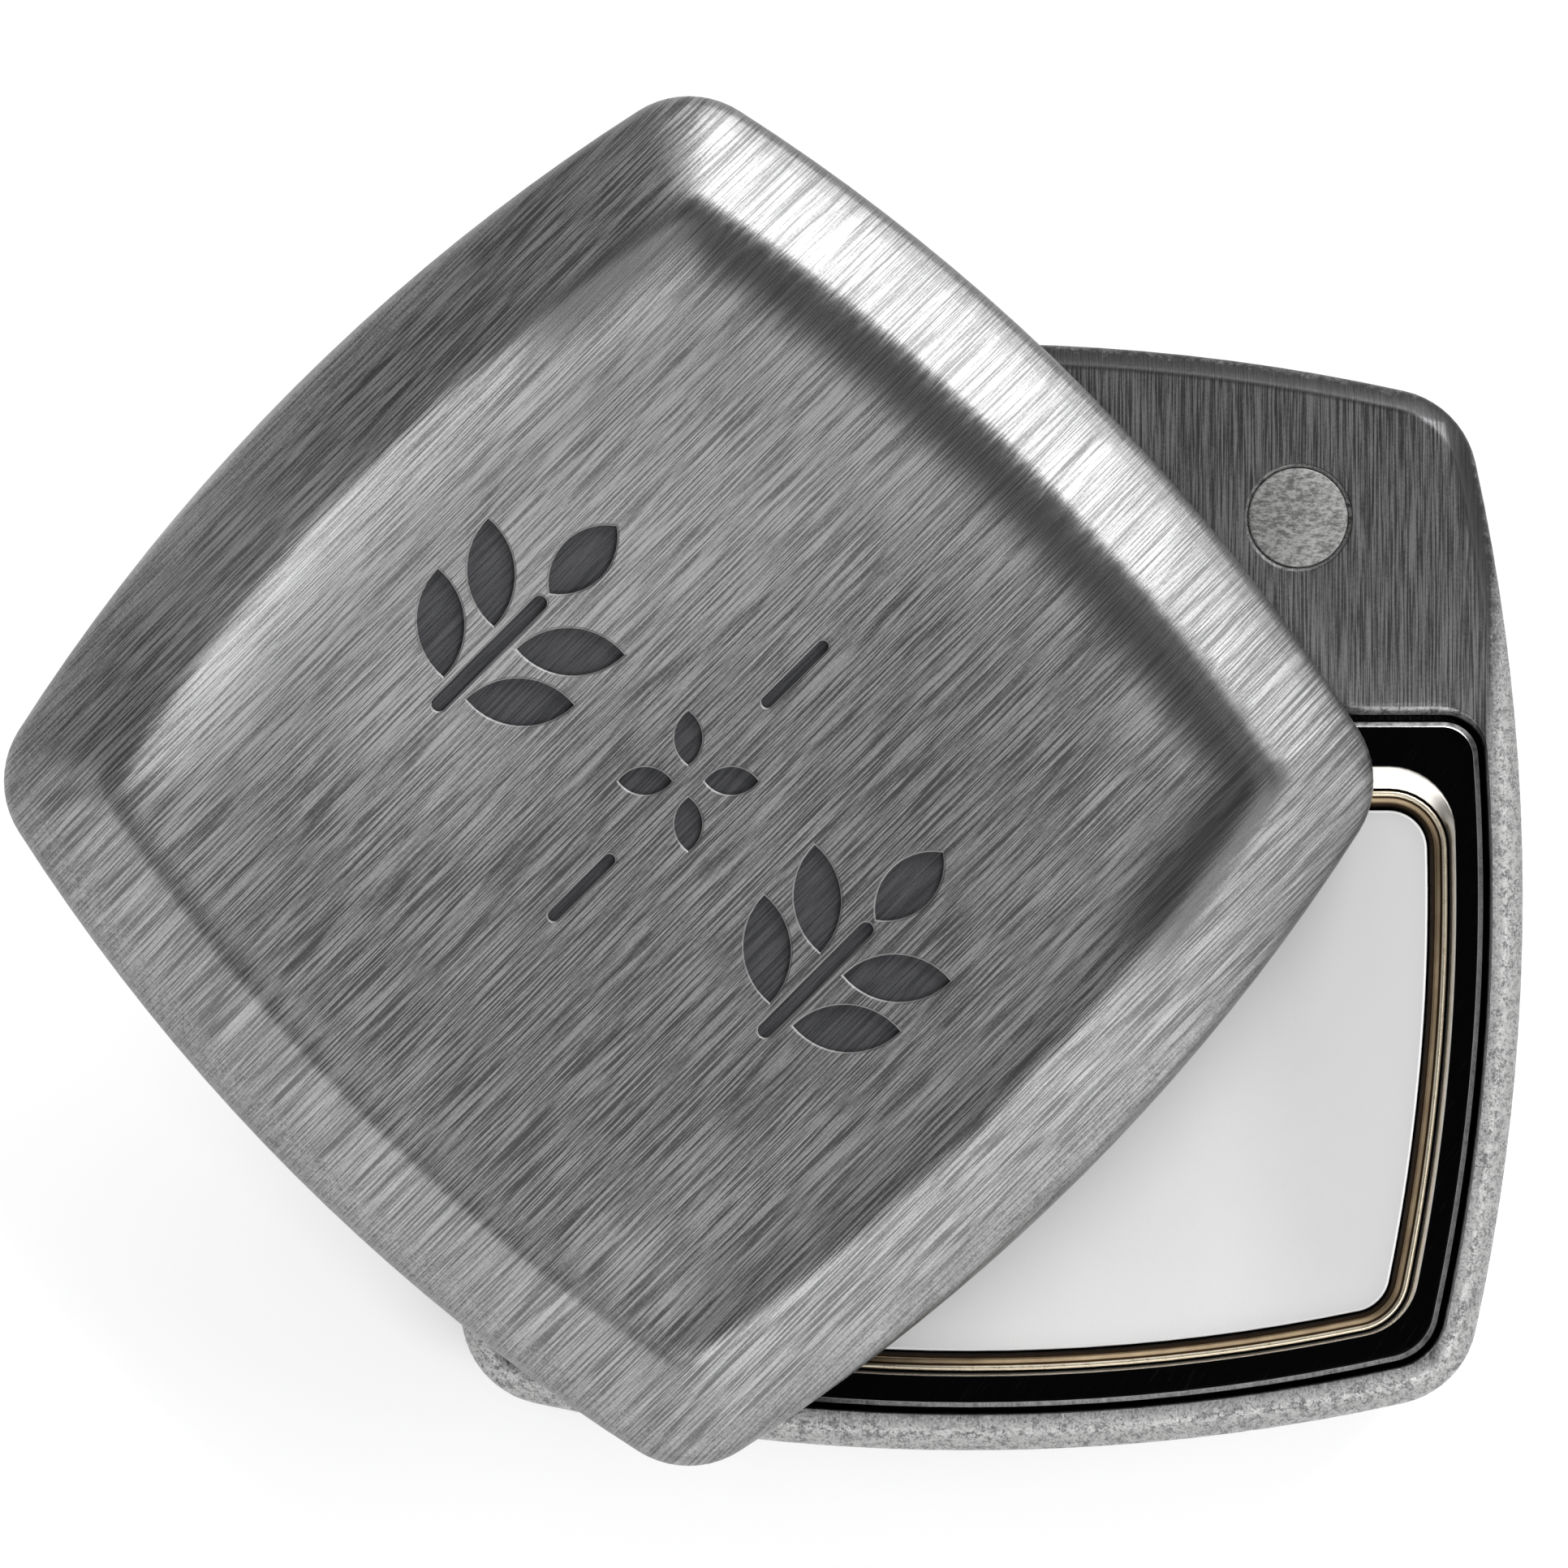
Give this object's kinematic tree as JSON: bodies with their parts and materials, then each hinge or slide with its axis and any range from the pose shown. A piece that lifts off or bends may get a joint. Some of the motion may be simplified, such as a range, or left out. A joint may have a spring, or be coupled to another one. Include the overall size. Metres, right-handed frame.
{
  "type": "solid cologne case",
  "caption": "Square pillow-shaped pocket case for solid cologne: brushed metal base and swivel lid on one pivot, with a black refill cartridge and a pan of white balm.",
  "frame": {"origin": "centre of the base's flat back face, which the case lies on", "axes": "+Z out of the front of the case, +Y from the cartridge towards the pivot, +X to the right seen from the front"},
  "size_m": [0.0711, 0.0639, 0.0148],
  "materials": {
    "base_casting": "antiqued die-cast zinc, brushed, dark in the recesses",
    "lid_casting": "antiqued die-cast zinc, brushed, dark in the engraving",
    "cap_casting": "antiqued die-cast zinc, brushed",
    "magnet": "nickel-plated magnet, dull and scuffed",
    "insert_brass": "plain machined brass",
    "screw_steel": "blackened steel",
    "washer_steel": "bright spring steel",
    "bush_bronze": "sintered bronze",
    "glide_plastic": "white low-friction plastic",
    "tray_plastic": "glossy black moulding",
    "adhesive": "double-sided tape",
    "pan_tinplate": "gold-lacquered tinplate",
    "balm": "white wax balm, satin"
  },
  "bodies": {
    "base": {"base_shell": "base_casting", "base_magnet_left": "magnet", "base_magnet_right": "magnet", "cartridge_magnet": "magnet", "pivot_bush": "bush_bronze", "glide_washer": "glide_plastic", "spring_washer": "washer_steel", "pivot_cap": "cap_casting", "cartridge_tray": "tray_plastic", "pan_adhesive_pad": "adhesive", "refill_pan": "pan_tinplate", "solid_balm": "balm"},
    "lid": {"lid_shell": "lid_casting", "lid_magnet_left": "magnet", "lid_magnet_right": "magnet", "pivot_insert": "insert_brass", "pivot_screw": "screw_steel", "thrust_washer": "washer_steel"}
  },
  "joints": [
    {"name": "lid_swivel", "type": "hinge", "parent": "base", "child": "lid", "pos_m": [0, 0.0186, 0.009], "axis": [0, 0, 1], "range_deg": [-135, 45]}
  ]
}
